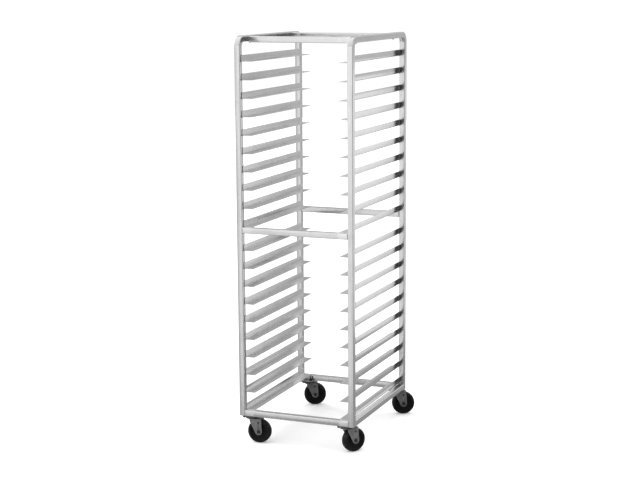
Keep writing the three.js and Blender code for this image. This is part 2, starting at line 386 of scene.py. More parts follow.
def aluminium_material():
    """Mill-finish tube and sheet, with drawn streaks, stains, scuffs and rubbed corners.

    It is polished where a weld was ground flush, and darker and rougher where a weld heated it. On
    the cross bars it is also darker and rougher as painted shade.
    """
    t = Tree("mill_aluminium")
    grain = t.attribute("grain", "Vector")
    heat = t.attribute("heat", "Fac")
    edge = t.attribute("edge", "Fac")
    ground = t.attribute("ground", "Fac")
    place = t.node("TexCoord").outputs["Object"]
    fine = t.noise(t.stretched(grain, (9.0, 2600.0, 900.0)), 1.0, 4.0, 0.6)
    broad = t.noise(t.stretched(grain, (2.6, 160.0, 90.0)), 1.0, 3.0, 0.5)
    stain = t.noise(place, 11.0, 5.0, 0.62)
    smear = t.noise(t.stretched(grain, (26.0, 95.0, 40.0)), 1.0, 4.0, 0.6)
    speck = t.noise(place, 520.0, 2.0, 0.5)
    scuff = t.noise(t.stretched(grain, (38.0, 300.0, 70.0)), 1.0, 2.0, 0.5)
    tone = t.mix(t.ramp(broad, 0.32, 0.68), grey(0.6, -0.004), grey(0.74, 0.0))
    tone = t.mix(t.ramp(stain, 0.5, 0.7, 0.0, 0.45), tone, grey(0.5, 0.008))
    tone = t.mix(t.ramp(smear, 0.55, 0.72, 0.0, 0.5), tone, grey(0.83))
    tone = t.mix(t.ramp(fine, 0.35, 0.75, 0.0, 0.3), tone, grey(0.82))
    tone = t.mix(t.math("MULTIPLY", edge, 0.4), tone, grey(0.85))
    polished = t.math("MULTIPLY", ground, t.ramp(smear, 0.3, 0.55, 0.55, 1.0))
    tone = t.mix(polished, tone, grey(0.88))
    # Darker where a weld heated the metal; on the cross bars also painted shade.
    burnt_and_shaded = t.math("MULTIPLY", heat, t.ramp(stain, 0.3, 0.7, 0.35, 0.85))
    tone = t.mix(burnt_and_shaded, tone, grey(0.4, 0.012))
    t.set("Base Color", tone)
    t.set("Metallic", 1.0)
    rough = t.ramp(broad, 0.25, 0.75, 0.16, 0.24)
    rough = t.math("ADD", rough, t.ramp(scuff, 0.6, 0.75, 0.0, 0.1))
    rough = t.math("ADD", rough, t.math("MULTIPLY", polished, 0.14))
    rough = t.math("ADD", rough, t.math("MULTIPLY", burnt_and_shaded, 0.2))
    t.set("Roughness", rough)
    streaks = t.bump(fine, 0.00005, 0.5)
    pits = t.bump(speck, 0.00004, 0.35, streaks)
    t.set("Normal", t.bump(stain, 0.0006, 0.25, pits))
    return t.material


def weld_material():
    """Bare weld metal: frosty, rippled, with a darker skin in the hollows."""
    t = Tree("weld_metal")
    place = t.node("TexCoord").outputs["Object"]
    blotch = t.noise(place, 160.0, 3.0, 0.6)
    grit = t.noise(place, 1500.0, 2.0, 0.6)
    t.set("Base Color", t.mix(t.ramp(blotch, 0.3, 0.7), grey(0.5, 0.01), grey(0.72)))
    t.set("Metallic", 1.0)
    t.set("Roughness", t.ramp(blotch, 0.3, 0.7, 0.56, 0.4))
    t.set("Normal", t.bump(grit, 0.00012, 0.5))
    return t.material


def steel_material(name, dark, light, rough_low, rough_high, metallic=0.92):
    """Dull plated pressed steel: a mottled skin with fine pitting and grime."""
    t = Tree(name)
    place = t.node("TexCoord").outputs["Object"]
    mottle = t.noise(place, 140.0, 4.0, 0.6)
    grime = t.noise(place, 38.0, 3.0, 0.55)
    grit = t.noise(place, 1400.0, 2.0, 0.6)
    tone = t.mix(t.ramp(mottle, 0.35, 0.68), grey(dark, -0.02), grey(light, -0.01))
    tone = t.mix(t.ramp(grime, 0.5, 0.72, 0.0, 0.55), tone, grey(dark * 0.5, 0.05))
    t.set("Base Color", tone)
    t.set("Metallic", metallic)
    t.set("Roughness", t.ramp(mottle, 0.3, 0.7, rough_low, rough_high))
    t.set("Normal", t.bump(mottle, 0.0001, 0.3, t.bump(grit, 0.00006, 0.4)))
    return t.material


def wheel_material():
    """Moulded black wheel: a fine moulded grain, dust on the running surface, scuffed rim."""
    t = Tree("moulded_black")
    place = t.node("TexCoord").outputs["Object"]
    wear = t.attribute("edge", "Fac")
    grain = t.noise(place, 900.0, 3.0, 0.6)
    patch = t.noise(place, 60.0, 4.0, 0.6)
    dust = t.math("MULTIPLY", wear, t.ramp(patch, 0.45, 0.7, 0.05, 0.8))
    tone = t.mix(t.ramp(patch, 0.3, 0.7), grey(0.004), grey(0.008))
    t.set("Base Color", t.mix(dust, tone, grey(0.035, 0.03)))
    t.set("Roughness", t.ramp(patch, 0.3, 0.7, 0.5, 0.68))
    t.set("Specular IOR Level", 0.14)
    t.set("Normal", t.bump(grain, 0.00012, 0.4))
    return t.material


ALUMINIUM = aluminium_material()
WELD = weld_material()
STEEL = steel_material("plated_steel", 0.12, 0.2, 0.38, 0.52, 0.4)
# A darker copy of the plated steel for the caster top plates: painted shade for their shaded
# undersides and edges.
SHADED_PLATE_STEEL = steel_material("plate_steel_painted_shade", 0.06, 0.11, 0.4, 0.55, 0.45)
BRIGHT_STEEL = steel_material("bolt_steel", 0.22, 0.4, 0.3, 0.45)
DARK_STEEL = steel_material("oiled_steel", 0.03, 0.06, 0.34, 0.5, 0.6)
RUBBER = wheel_material()


# ---- Weld beads, first, so that the metal round them can be toned ---------
SLIDES = {
    (side, number): node_box(f"slide_{side}_{number:02d}")
    for side in ("left", "right")
    for number in range(1, SLIDE_COUNT + 1)
}


def post_spans():
    """Front and back extent of the two posts of a side frame."""
    return ((FRONT, FRONT + TUBE), (BACK - TUBE, BACK))


def inner_face(side):
    return LEFT_HIGH[0] if side == "left" else RIGHT_LOW[0]


def slide_welds():
    """Short fillets above the leg of each slide, and under the heel of all but the last."""
    for side in ("left", "right"):
        inward = INWARD[side]
        rng = np.random.default_rng(11 if side == "left" else 12)
        shell = Shell(3)
        x = inner_face(side)
        for number in range(1, SLIDE_COUNT + 1):
            low, high = SLIDES[side, number]
            for post_low, post_high in post_spans():
                near = max(post_low, low[1]) + 1.2
                far = min(post_high, high[1]) - 1.2
                ends = sorted((near + rng.uniform(0, 0.8), far - rng.uniform(0, 0.8)))
                bead(
                    shell, (x, ends[0], high[2]), (x, ends[1], high[2]), FULL_BEAD, rng,
                    lean=(inward * 0.5, 0, 0.1),
                )
                if number < SLIDE_COUNT:
                    bead(
                        shell, (x, ends[0], low[2]), (x, ends[1], low[2]), SMALL_BEAD, rng,
                        lean=(inward * 0.4, 0, -0.1),
                    )
        build_beads(shell, f"slide_welds_{side}")


BAR_NODES = [
    f"{level}_bar_{end}" for level in ("top", "middle", "bottom") for end in ("front", "back")
]
BEAD_INSET = TUBE_CORNER + 0.6


def bar_box(node):
    """The tube part of a cross bar's box, without its gussets."""
    low, high = node_box(node)
    if node == "bottom_bar_front":
        high = np.array([high[0], low[1] + TUBE, high[2]])
    if node == "bottom_bar_back":
        low = np.array([low[0], high[1] - TUBE, low[2]])
    return low, high


def bar_welds():
    """Beads round the ends of each cross bar, where it meets the side frames."""
    for node in BAR_NODES:
        low, high = bar_box(node)
        rng = np.random.default_rng(100 + BAR_NODES.index(node))
        shell = Shell(4)
        inset = BEAD_INSET
        for x, inward in ((LEFT_HIGH[0], 1), (RIGHT_LOW[0], -1)):
            lean = np.array((inward * 0.5, 0, 0))
            upright = (low[2] + inset, high[2] - inset)
            level = (low[1] + inset, high[1] - inset)
            for z, down in ((low[2], -0.3), (high[2], 0.3)):
                bead(
                    shell, (x, level[0], z), (x, level[1], z), FULL_BEAD, rng,
                    lean=lean + (0, 0, down),
                )
            for y, out, flush in ((low[1], -0.3, FRONT), (high[1], 0.3, BACK)):
                at_face = abs(y - flush) < 1
                size = FLUSH_BEAD if at_face else FULL_BEAD
                shift = -out * 2.2 if at_face else out
                bead(
                    shell, (x, y, upright[0]), (x, y, upright[1]), size, rng,
                    lean=lean + (0, shift, 0),
                )
        build_beads(shell, f"{node}_welds")


def rail_welds():
    """Beads where the base side rails butt against the posts."""
    for side, low_x in (("left", LEFT_LOW[0]), ("right", RIGHT_LOW[0])):
        rng = np.random.default_rng(31 if side == "left" else 32)
        shell = Shell(5)
        inset = BEAD_INSET
        for y, inward in ((FRONT + TUBE, 1), (BACK - TUBE, -1)):
            lean = np.array((0, inward * 0.5, 0))
            for z, down in ((FOOT, 0.9), (FOOT + TUBE, 0.3)):
                bead(
                    shell, (low_x + inset, y, z), (low_x + TUBE - inset, y, z),
                    UNDER_BEAD if z == FOOT else FULL_BEAD, rng, lean=lean + (0, 0, down),
                )
            for x, out in ((low_x, 0.7), (low_x + TUBE, -0.7)):
                bead(
                    shell, (x, y, FOOT + inset), (x, y, FOOT + TUBE - inset), FLUSH_BEAD, rng,
                    lean=lean + (out, 0, 0),
                )
        build_beads(shell, f"base_rail_{side}_welds")


slide_welds()
bar_welds()
rail_welds()


# ---- Side frames ---------------------------------------------------------
STRAIGHT_SECTIONS, BEND_SECTIONS, TOP_SECTIONS = 190, 24, 60
BEND_DENT = 0.9
END_CHAMFER_HEIGHT, END_CHAMFER_WIDTH = 0.35, 0.5


def arch_path():
    """Centre line of the bent tube as (y, z, direction y, direction z, share of bend)."""
    radius = BEND_CENTRE_RADIUS
    front, back = FRONT + TUBE / 2, BACK - TUBE / 2
    top = FRAME_TOP - TUBE / 2
    straight = top - radius
    upright = np.linspace(FOOT, straight, STRAIGHT_SECTIONS)
    stations = [(front, z, 0.0, 1.0, 0.0) for z in upright]

    def bend(centre_y, first_angle):
        for k in range(1, BEND_SECTIONS):
            a = first_angle - math.pi / 2 * k / BEND_SECTIONS
            stations.append((
                centre_y + radius * math.cos(a), straight + radius * math.sin(a),
                math.sin(a), -math.cos(a), math.sin(math.pi * k / BEND_SECTIONS),
            ))

    bend(front + radius, math.pi)
    for y in np.linspace(front + radius, back - radius, TOP_SECTIONS):
        stations.append((y, top, 1.0, 0.0, 0.0))
    bend(back - radius, math.pi / 2)
    downward = np.linspace(straight, FOOT, STRAIGHT_SECTIONS)
    stations += [(back, z, 0.0, -1.0, 0.0) for z in downward]
    return stations


def tube_loops():
    """Outer and inner section of the tube, and how close each point is to a corner."""
    outer, edge = rounded_loop(TUBE, TUBE, TUBE_CORNER, 6)
    inside = TUBE - 2 * TUBE_WALL
    inner, _ = rounded_loop(inside, inside, TUBE_CORNER - TUBE_WALL, 6)
    return outer, inner, edge


def arch_ring(station, x, loop, inset):
    """One section across the tube, its inner side pressed in a little where it bends."""
    y, z, dy, dz, bend = station
    outward = np.array((0.0, -dz, dy))
    across = np.array((1.0, 0.0, 0.0))
    ring = []
    for u, v in loop:
        depth = v
        if v < 0 and bend:
            hollow = max(0.0, 1 - (u / (TUBE / 2 - TUBE_CORNER)) ** 2)
            depth = v + BEND_DENT * bend * hollow * (1 if not inset else 0.8)
        ring.append(np.array((x, y, z)) + across * u + outward * depth)
    return ring


def side_arch(side, low_x):
    shell = Shell(1 if side == "left" else 2)
    x = low_x + TUBE / 2
    outer, inner, edge = tube_loops()
    stations = arch_path()
    lip = [
        (y, z + END_CHAMFER_HEIGHT, dy, dz, b)
        for y, z, dy, dz, b in (stations[0], stations[-1])
    ]
    outside = [arch_ring(s, x, outer, False) for s in (lip[0], *stations[1:-1], lip[1])]
    narrowed = outer * (1 - END_CHAMFER_WIDTH / TUBE)
    rings = [arch_ring(stations[0], x, narrowed, False)] + outside
    rings.append(arch_ring(stations[-1], x, narrowed, False))
    rings += [arch_ring(s, x, inner, True) for s in stations[::-1]]
    centres = np.array([(s[0], s[1]) for s in [stations[0], *stations, stations[-1]]])
    along = lengths_along(centres)
    along = np.concatenate([along, along[-2:0:-1]])
    skin(shell, rings, edge, along[: len(rings)], loop=True)
    shell.build(
        f"bent_tube_{side}", ALUMINIUM, "rack", "aluminium", (f"side_frame_{side}",), heat=True
    )


def base_rail(side, low_x):
    """Straight tube between the feet of a side frame, butted against both posts."""
    shell = Shell(7 if side == "left" else 8)
    middle = (low_x + TUBE / 2, FOOT + TUBE / 2)
    tube_between(shell, "y", (FRONT + TUBE, BACK - TUBE), middle)
    shell.build(f"base_rail_{side}", ALUMINIUM, "rack", "aluminium", heat=True)


def tube_between(shell, axis, ends, centre):
    """A straight, hollow square tube along x or y, with its sections closer near the welds."""
    outer, inner, edge = tube_loops()
    low, high = ends
    close = [0, 4, 8, 13, 19, 27, 34, 40, 46]
    spots = [low + d for d in close] + list(np.linspace(low + 60, high - 60, 12))
    spots += [high - d for d in close[::-1]]

    def ring(loop, spot):
        if axis == "x":
            return [(spot, centre[0] + u, centre[1] + v) for u, v in loop]
        return [(centre[0] + u, spot, centre[1] + v) for u, v in loop]

    rings = [ring(outer, s) for s in spots] + [ring(inner, s) for s in spots[::-1]]
    along = np.array(spots + spots[::-1]) - low
    skin(shell, rings, edge, along, loop=True)


for side, low_x in (("left", LEFT_LOW[0]), ("right", RIGHT_LOW[0])):
    side_arch(side, low_x)
    base_rail(side, low_x)


# ---- Cross bars and gussets ----------------------------------------------
GUSSET_X, GUSSET_Y, GUSSET_THICKNESS = 56.0, 24.0, 3.2
GUSSET_CORNER, GUSSET_CHAMFER = 9.0, 0.4


def gusset_outline(width, depth, corner):
    """Corner plate seen from above, with its free corner rounded to the radius corner."""
    return [(0, 0), (width, 0), (width, depth - corner), *[
        (width - corner + corner * math.cos(a), depth - corner + corner * math.sin(a))
        for a in np.linspace(0.0, math.pi / 2, 7)
    ], (0, depth)]


def gusset(shell, x, y, z_low, z_high, x_sign, y_sign, width, depth):
    outline = np.array(gusset_outline(width, depth, GUSSET_CORNER))
    middle = outline.mean(axis=0)
    rings = []
    for z, shrink in (
        (z_low, GUSSET_CHAMFER), (z_low + GUSSET_CHAMFER, 0.0),
        (z_high - GUSSET_CHAMFER, 0.0), (z_high, GUSSET_CHAMFER),
    ):
        away = outline - middle
        away /= np.linalg.norm(away, axis=1)[:, None]
        level = outline - away * shrink
        rings.append([(x + x_sign * u, y + y_sign * v, z) for u, v in level])
    skin(shell, rings)


GROUND_LENGTH, GROUND_FADE = 46.0, 12.0


def ground_ends(points):
    """Where the welds of a cross bar were ground flush: its last few centimetres at each end."""
    from_end = np.minimum(points[:, 0] - LEFT_HIGH[0], RIGHT_LOW[0] - points[:, 0])
    return np.clip((GROUND_LENGTH - from_end) / GROUND_FADE, 0.0, 1.0)


# Without this, the bars come out lighter than in the photograph. It darkens and roughens each bar,
# the middle and bottom ones most: painted shade, for the darker tone that light gives the bars. A
# duller finish is a guess.
BAR_PAINTED_SHADE = {"top": 0.3, "middle": 0.85, "bottom": 0.65}


def cross_bars():
    for index, node in enumerate(BAR_NODES):
        low, high = bar_box(node)
        shell = Shell(10 + index)
        middle = ((low[1] + high[1]) / 2, (low[2] + high[2]) / 2)
        tube_between(shell, "x", (LEFT_HIGH[0], RIGHT_LOW[0]), middle)
        shell.ground = ground_ends
        shell.painted_shade = BAR_PAINTED_SHADE[node.split("_")[0]]
        shell.build(f"{node}_tube", ALUMINIUM, "rack", "aluminium", (node,), heat=True)


def gussets():
    for corner in CORNERS:
        end, side = corner.split("_")
        x_sign, y_sign = INWARD[side], INWARD[end]
        x = inner_face(side) + x_sign * 0.3
        y = (FRONT + TUBE) if end == "front" else (BACK - TUBE)
        shell = Shell(20 + CORNERS.index(corner))
        gusset(shell, x, y, FOOT, FOOT + GUSSET_THICKNESS, x_sign, y_sign, GUSSET_X, GUSSET_Y)
        shell.build(f"gusset_{corner}", ALUMINIUM, "rack", "aluminium")
        rng = np.random.default_rng(50 + CORNERS.index(corner))
        beads = Shell(6)
        z = FOOT + GUSSET_THICKNESS
        for near, far in ((6, 24), (36, 52)):
            bead(
                beads, (x + x_sign * near, y, z), (x + x_sign * far, y, z), SMALL_BEAD, rng,
                lean=(0, y_sign * 0.5, 0.3),
            )
        bead(
            beads, (x, y + y_sign * 4, z), (x, y + y_sign * 20, z), SMALL_BEAD, rng,
            lean=(x_sign * 0.5, 0, 0.3),
        )
        build_beads(beads, f"gusset_{corner}_welds")


cross_bars()
gussets()


# ---- Slides ----------------------------------------------------------------
def slide_section(width, height, inset):
    """Angle section with a bent heel. Origin at the outside of the heel, shelf leg along +u."""
    t = SLIDE_THICKNESS
    outer, inner, lip = 3.2, 1.2, 0.45
    points, edge = [], []

    def arc(cu, cv, radius, start, end, steps, flag):
        for k in range(steps + 1):
            a = math.radians(start + (end - start) * k / steps)
            points.append((cu + radius * math.cos(a), cv + radius * math.sin(a)))
            edge.append(flag)

    i = inset
    arc(width - lip - i, lip + i, lip, -90, 0, 3, 1.0)
    arc(width - lip - i, t - lip - i, lip, 0, 90, 3, 1.0)
    arc(t + inner, t + inner, inner + i, 270, 180, 5, 0.0)
    arc(t - lip - i, height - lip - i, lip, 0, 90, 3, 1.0)
    arc(lip + i, height - lip - i, lip, 90, 180, 3, 1.0)
    arc(outer, outer, outer - i, 180, 270, 8, 0.6)
    return np.array(points), np.array(edge)


def formed_slide(side, number):
    low, high = SLIDES[side, number]
    width, height = high[0] - low[0], high[2] - low[2]
    full, edge = slide_section(width, height, 0.0)
    cut, _ = slide_section(width, height, 0.3)
    sign = INWARD[side]
    x = low[0] if side == "left" else high[0]
    shell = Shell(number * 2 + (0 if side == "left" else 57))
    near = [0.3, 3, 6, 9, 12, 15, 19, 24, 31, 42]
    spots = [low[1] + d for d in near] + list(np.linspace(low[1] + 70, high[1] - 70, 8))
    spots += [high[1] - d for d in near[::-1]]

    def ring(section, y):
        return [(x + sign * u, y, low[2] + v) for u, v in section]

    rings = [ring(cut, low[1])] + [ring(full, y) for y in spots] + [ring(cut, high[1])]
    along = np.array([low[1], *spots, high[1]]) - low[1]
    skin(shell, rings, edge, along)
    shell.build(
        f"formed_slide_{side}_{number:02d}", ALUMINIUM, "rack", "aluminium",
        (f"slide_{side}_{number:02d}",), heat=True,
    )


for side, number in SLIDES:
    formed_slide(side, number)


# ---- Casters ---------------------------------------------------------------
WHEEL_RADIUS = 50.8
AXLE_HEIGHT = WHEEL_RADIUS
LEAD = 38.1
PLATE_TOP = node_box("caster_plate_front_left")[1][2]
PLATE_THICKNESS = 3.0
PLATE_BOTTOM = PLATE_TOP - PLATE_THICKNESS
CROWN_TOP = node_box("caster_fork_front_left")[1][2]
FORK_STEEL = 2.6
CHEEK_INSIDE = 18.2
CHEEK_OUTSIDE = CHEEK_INSIDE + FORK_STEEL
RACE_RADIUS = 22.9
PLATE_LENGTH, PLATE_WIDTH, PLATE_CORNER = 63.5, 44.45, 6.0
BOLT_X, BOLT_Y = 24.75, 15.9
BOLT_FLATS, KING_PIN_FLATS, AXLE_FLATS = 10.0, 17.0, 13.0
BALL_RADIUS, BALL_RING_RADIUS, BALL_COUNT = 1.55, 19.3, 30
BRAKE_HOLE_RADIUS, BRAKE_HOLE_HEIGHT, PUNCH_REACH = 3.9, 89.5, 30.0


def caster_place(corner):
    """Matrix that puts a caster drawn about its swivel axis, trail along +x, at its corner."""
    plate_low, plate_high = node_box(f"caster_plate_{corner}")
    wheel_low, wheel_high = node_box(f"caster_wheel_{corner}")
    pivot = (plate_low + plate_high) / 2
    trail = (wheel_low + wheel_high) / 2 - pivot
    angle = math.atan2(trail[1], trail[0])
    spot = Matrix.Translation((pivot[0], pivot[1], 0))
    return spot, spot @ Matrix.Rotation(angle, 4, "Z")


def caster_plate(corner, spot):
    shell = Shell(60 + CORNERS.index(corner))
    rings = []
    for z, shrink in (
        (PLATE_BOTTOM, 1.1), (PLATE_BOTTOM + 0.2, 0.4), (PLATE_BOTTOM + 0.6, 0.0),
        (PLATE_TOP - 0.6, 0.0), (PLATE_TOP - 0.2, 0.4), (PLATE_TOP, 1.1),
    ):
        loop, _ = rounded_loop(
            PLATE_LENGTH - shrink, PLATE_WIDTH - shrink, PLATE_CORNER - shrink / 2, 8
        )
        rings.append([(u, v, z) for u, v in loop])
    skin(shell, rings)
    lathe(shell, [
        (6.5, PLATE_BOTTOM - 0.2), (6.5, PLATE_BOTTOM - 2.4), (13.5, PLATE_BOTTOM - 2.6),
        (17.0, PLATE_BOTTOM - 1.4), (19.6, PLATE_BOTTOM - 1.5), (21.2, PLATE_BOTTOM - 2.6),
        (21.9, PLATE_BOTTOM - 3.6), (22.6, PLATE_BOTTOM - 3.7), (RACE_RADIUS, PLATE_BOTTOM - 3.2),
        (RACE_RADIUS, PLATE_BOTTOM - 1.6), (22.3, PLATE_BOTTOM - 0.4), (21.2, PLATE_BOTTOM + 0.2),
        (6.5, PLATE_BOTTOM + 0.2), (6.5, PLATE_BOTTOM - 0.2),
    ], 72)
    shell.place(spot)
    shell.build(
        f"top_plate_{corner}", SHADED_PLATE_STEEL, "rack", "caster_steel", (f"caster_plate_{corner}",),
        weld=0.001,
    )


def plate_bolts(corner, spot):
    """Four hexagon bolts up through the plate; the one over the gusset shows its nut."""
    end, side = corner.split("_")
    inward_x, inward_y = INWARD[side], INWARD[end]
    shell = Shell(70 + CORNERS.index(corner))
    for sx in (-1, 1):
        for sy in (-1, 1):
            x, y = sx * BOLT_X, sy * BOLT_Y
            lathe(shell, [
                (0.0, PLATE_BOTTOM - 0.7), (6.0, PLATE_BOTTOM - 0.7), (6.3, PLATE_BOTTOM - 0.5),
                (6.3, PLATE_BOTTOM - 0.1), (0.0, PLATE_BOTTOM - 0.1),
            ], 28, centre=(x, y, 0))
            turn = 0.35 * sx + 0.9 * sy + 0.4 * CORNERS.index(corner)
            hexagon(
                shell, BOLT_FLATS, PLATE_BOTTOM - 0.7, PLATE_BOTTOM - 4.3,
                centre=(x, y, 0), turn=turn,
            )
            if sx == inward_x and sy == inward_y:
                base = FOOT + GUSSET_THICKNESS
                lathe(shell, [
                    (0.0, base), (6.3, base), (6.3, base + 1.1), (6.0, base + 1.3),
                    (0.0, base + 1.3),
                ], 28, centre=(x, y, 0))
                hexagon(
                    shell, BOLT_FLATS, base + 1.3, base + 6.6, centre=(x, y, 0),
                    turn=turn + 0.5, chamfer_low=True,
                )
                thread(shell, x, y, PLATE_BOTTOM + 0.5, base + 19.0, 3.0)
    shell.place(spot)
    shell.build(f"plate_bolts_{corner}", DARK_STEEL, "rack", "caster_steel", weld=0.002)


def thread(shell, x, y, low, high, radius):
    """Ribbed shank end, its crests a millimetre apart, with a chamfered tip."""
    profile = [(0.0, low), (radius - 0.5, low)]
    z = low
    while z < high - 1.6:
        profile += [(radius, z + 0.35), (radius, z + 0.5), (radius - 0.5, z + 0.9)]
        z += 1.0
    profile += [(radius - 0.1, high - 0.7), (radius - 0.9, high), (0.0, high)]
    lathe(shell, profile, 20, centre=(x, y, 0))


def fork_edges(y, z, bend):
    """Front and back limit of the fork's pressing at a height, along the trail."""
    if bend < 1.0:
        nose = -math.sqrt(max(0.0, RACE_RADIUS ** 2 - y * y))
        smooth = bend * bend * (3 - 2 * bend)
        return nose * (1 - smooth) - 1.0 * smooth, 50.0
    shoulder, low_point = 94.0, 45.3
    radius = 15.0
    drop = min(radius, max(-radius, z - AXLE_HEIGHT))
    half = math.sqrt(max(0.0, radius ** 2 - drop ** 2))
    if z > shoulder:
        front = -1.0
    elif z > low_point:
        share = (shoulder - z) / (shoulder - low_point)
        front = -1.0 + share * (24.15 + 1.0)
    else:
        front = LEAD - half
    back = 50.0 + 3.1 * min(1.0, (98.0 - z) / 47.0) if z > AXLE_HEIGHT else LEAD + half
    return front, back


def fork_stations():
    """Points across one half of the fork, from the crown's middle to the end of a cheek."""
    middle_y = CHEEK_INSIDE + FORK_STEEL / 2
    middle_z = CROWN_TOP - FORK_STEEL / 2
    radius = 5.0
    stations = [(y, middle_z, 0.0) for y in np.linspace(0, middle_y - radius, 7)]
    for k in range(1, 9):
        a = math.pi / 2 * k / 8
        stations.append((
            middle_y - radius + radius * math.sin(a),
            middle_z - radius + radius * math.cos(a), k / 8,
        ))
    heights = list(np.linspace(middle_z - radius - 2.5, 52.0, 18)) + [
        AXLE_HEIGHT - 15.0 * math.sin(a) for a in np.linspace(0.0, 1.49, 12)
    ]
    stations += [(middle_y, z, 1.0) for z in heights]
    return stations


def punch_hole(piece, place):
    """Round hole through both cheeks above the axle, left for fitting a brake."""
    punch = Shell(0)
    radius, reach = BRAKE_HOLE_RADIUS, PUNCH_REACH
    lathe(
        punch, [(0.0, -reach), (radius, -reach), (radius, reach), (0.0, reach)], 28,
        axis="y", centre=(LEAD - 1, 0, BRAKE_HOLE_HEIGHT),
    )
    punch.place(place)
    cutter = punch.build("punch", STEEL, "rack", "caster_steel", weld=0.001)
    cut = piece.modifiers.new("hole", "BOOLEAN")
    cut.object = cutter
    cut.solver = "EXACT"
    bpy.context.view_layer.update()
    graph = bpy.context.evaluated_depsgraph_get()
    finished = bpy.data.meshes.new_from_object(
        piece.evaluated_get(graph), preserve_all_data_layers=True, depsgraph=graph
    )
    piece.modifiers.clear()
    piece.data = finished
    bpy.data.objects.remove(cutter)


def caster_fork(corner, place):
    """Pressed U of sheet steel: crown, rounded shoulders and two tapering cheeks."""
    half = fork_stations()
    rows = [(-y, z, b) for y, z, b in half[:0:-1]] + half
    columns = 22
    points, grain = [], []
    for y, z, bend in rows:
        front, back = fork_edges(y, z, bend)
        for c in range(columns):
            x = front + (back - front) * c / (columns - 1)
            out = 0.0
            if bend >= 1.0:
                from_axle = math.hypot(x - LEAD, z - AXLE_HEIGHT)
                out -= 0.5 * (1 - min(1.0, max(0.0, (from_axle - 9.5) / 2.0)))
                rib = math.exp(-(((x - (front + back) / 2) / 5.5) ** 4))
                window = min(1.0, max(0.0, (z - 66.0) / 6.0))
                window *= min(1.0, max(0.0, (98.0 - z) / 5.0))
                out -= 0.9 * rib * window
            points.append((x, y + math.copysign(out, y) if y else y, z))
            grain.append((x, z + y))
    faces = []
    for r in range(len(rows) - 1):
        for c in range(columns - 1):
            a = r * columns + c
            faces.append((a, a + 1, a + columns + 1, a + columns))
    shell = Shell(80 + CORNERS.index(corner))
    shell.add(points, faces, grain, np.zeros(len(points)))
    shell.place(place)
    piece = shell.build(
        f"pressed_fork_{corner}", STEEL, f"fork_{corner}", "caster_steel",
        (f"caster_fork_{corner}",),
    )
    thick = piece.modifiers.new("thickness", "SOLIDIFY")
    thick.thickness = FORK_STEEL * METRES
    thick.offset = 0.0
    thick.use_even_offset = True
    punch_hole(piece, place)
    bevel = piece.modifiers.new("edges", "BEVEL")
    bevel.width = 0.45 * METRES
    bevel.segments = 2
    bevel.limit_method = "ANGLE"
    bevel.angle_limit = math.radians(50)


def swivel_race(corner, place):
    """Lower race, balls and king pin of the swivel, which turn with the fork."""
    shell = Shell(90 + CORNERS.index(corner))
    top = CROWN_TOP
    lathe(shell, [
        (7.0, top - 0.2), (RACE_RADIUS - 0.8, top - 0.2), (RACE_RADIUS - 0.2, top + 0.2),
        (RACE_RADIUS - 0.2, top + 0.9), (RACE_RADIUS - 0.8, top + 1.3), (21.4, top + 1.2),
        (20.2, top + 0.5), (18.2, top + 0.5), (17.0, top + 1.5), (14.0, top + 1.9),
        (7.0, top + 1.9), (7.0, top - 0.2),
    ], 72)
    shell.place(place)
    shell.build(f"swivel_race_{corner}", STEEL, f"fork_{corner}", "caster_steel", weld=0.001)
    balls = Shell(94 + CORNERS.index(corner))
    arc = [
        (BALL_RADIUS * math.sin(a), -BALL_RADIUS * math.cos(a))
        for a in np.linspace(0, math.pi, 11)
    ]
    for k in range(BALL_COUNT):
        a = 2 * math.pi * k / BALL_COUNT
        spot = (BALL_RING_RADIUS * math.cos(a), BALL_RING_RADIUS * math.sin(a), top + 2.1)
        lathe(balls, arc, 14, centre=spot)
    balls.place(place)
    balls.build(f"race_balls_{corner}", BRIGHT_STEEL, f"fork_{corner}", "caster_steel", weld=0.002)
    pin = Shell(98 + CORNERS.index(corner))
    under = CROWN_TOP - FORK_STEEL
    hexagon(pin, KING_PIN_FLATS, under, under - 6.5, turn=0.3)
    lathe(pin, [
        (0.0, under - 8.6), (3.4, under - 8.4), (4.6, under - 7.4), (4.8, under - 6.3),
        (0.0, under - 6.3),
    ], 28)
    pin.place(place)
    pin.build(f"king_pin_{corner}", BRIGHT_STEEL, f"fork_{corner}", "caster_steel", weld=0.002)


def axle_bolt(corner, place):
    """Axle bolt with its head on one cheek and a lock nut on the other."""
    shell = Shell(110 + CORNERS.index(corner))
    spot = (LEAD, 0, AXLE_HEIGHT)
    outside = CHEEK_OUTSIDE
    lathe(shell, [
        (0.0, -outside - 0.1), (4.75, -outside - 0.1), (4.75, outside + 0.1), (0.0, outside + 0.1),
    ], 40, axis="y", centre=spot)
    for sign in (-1, 1):
        lathe(shell, [
            (0.0, sign * outside), (8.2, sign * outside), (8.5, sign * (outside + 0.25)),
            (8.5, sign * (outside + 0.8)), (8.2, sign * (outside + 1.0)),
            (0.0, sign * (outside + 1.0)),
        ], 40, axis="y", centre=spot)
    hexagon(shell, AXLE_FLATS, -outside - 1.0, -outside - 4.0, axis="y", centre=spot, turn=0.2)
    hexagon(shell, AXLE_FLATS, outside + 1.0, outside + 3.4, axis="y", centre=spot, turn=0.45)
    lathe(shell, [
        (0.0, outside + 3.3), (5.9, outside + 3.3), (5.6, outside + 4.2), (3.9, outside + 4.3),
        (3.6, outside + 3.9), (0.0, outside + 3.9),
    ], 40, axis="y", centre=spot)
    shell.place(place)
    shell.build(f"axle_bolt_{corner}", DARK_STEEL, f"fork_{corner}", "caster_steel", weld=0.002)


